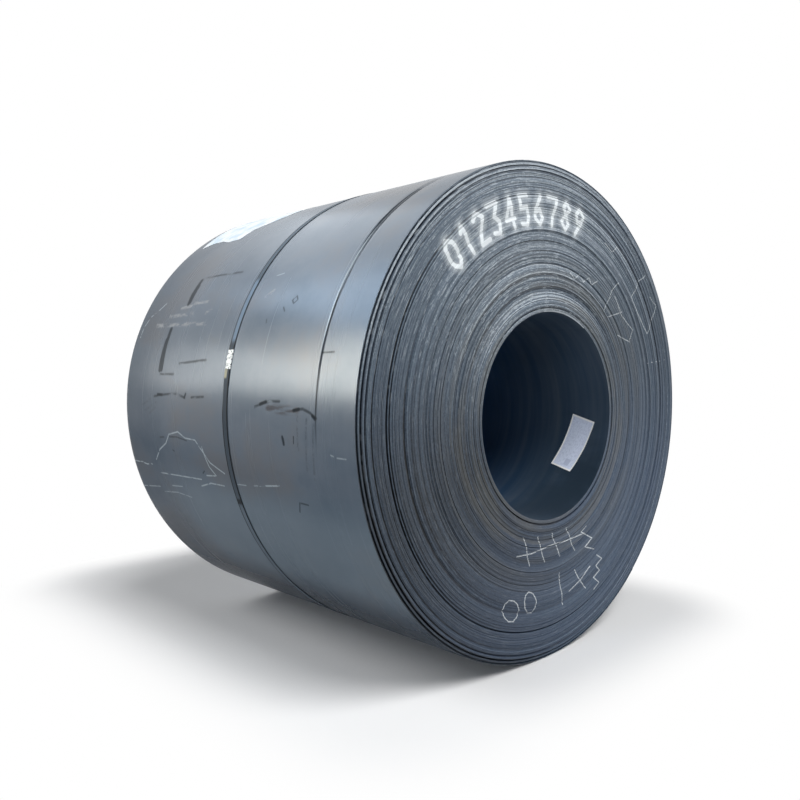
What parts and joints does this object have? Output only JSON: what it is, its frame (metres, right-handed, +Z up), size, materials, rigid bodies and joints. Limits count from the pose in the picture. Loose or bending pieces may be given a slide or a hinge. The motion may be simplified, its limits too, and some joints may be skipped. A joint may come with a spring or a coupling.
{
  "type": "steel coil",
  "caption": "Coil of hot-rolled steel strip lying with its bore level, held by one steel strap with a crimped seal.",
  "frame": {"origin": "on the floor below the middle of the coil", "axes": "+X along the bore towards the shown end, +Y away from the shown side, +Z up"},
  "size_m": [1.507, 1.802, 1.8017],
  "materials": {
    "hot_rolled_steel": "dull blue-grey mill scale",
    "strap_steel": "blued strapping, satin",
    "seal_steel": "bare crimped steel",
    "label_paper": "matt, ruled",
    "sheet_paper": "matt, creased"
  },
  "bodies": {
    "root": {"wound_coil": "hot_rolled_steel", "strap": "strap_steel", "strap_seal": "seal_steel", "bore_label": "label_paper", "top_label": "sheet_paper"}
  },
  "joints": []
}
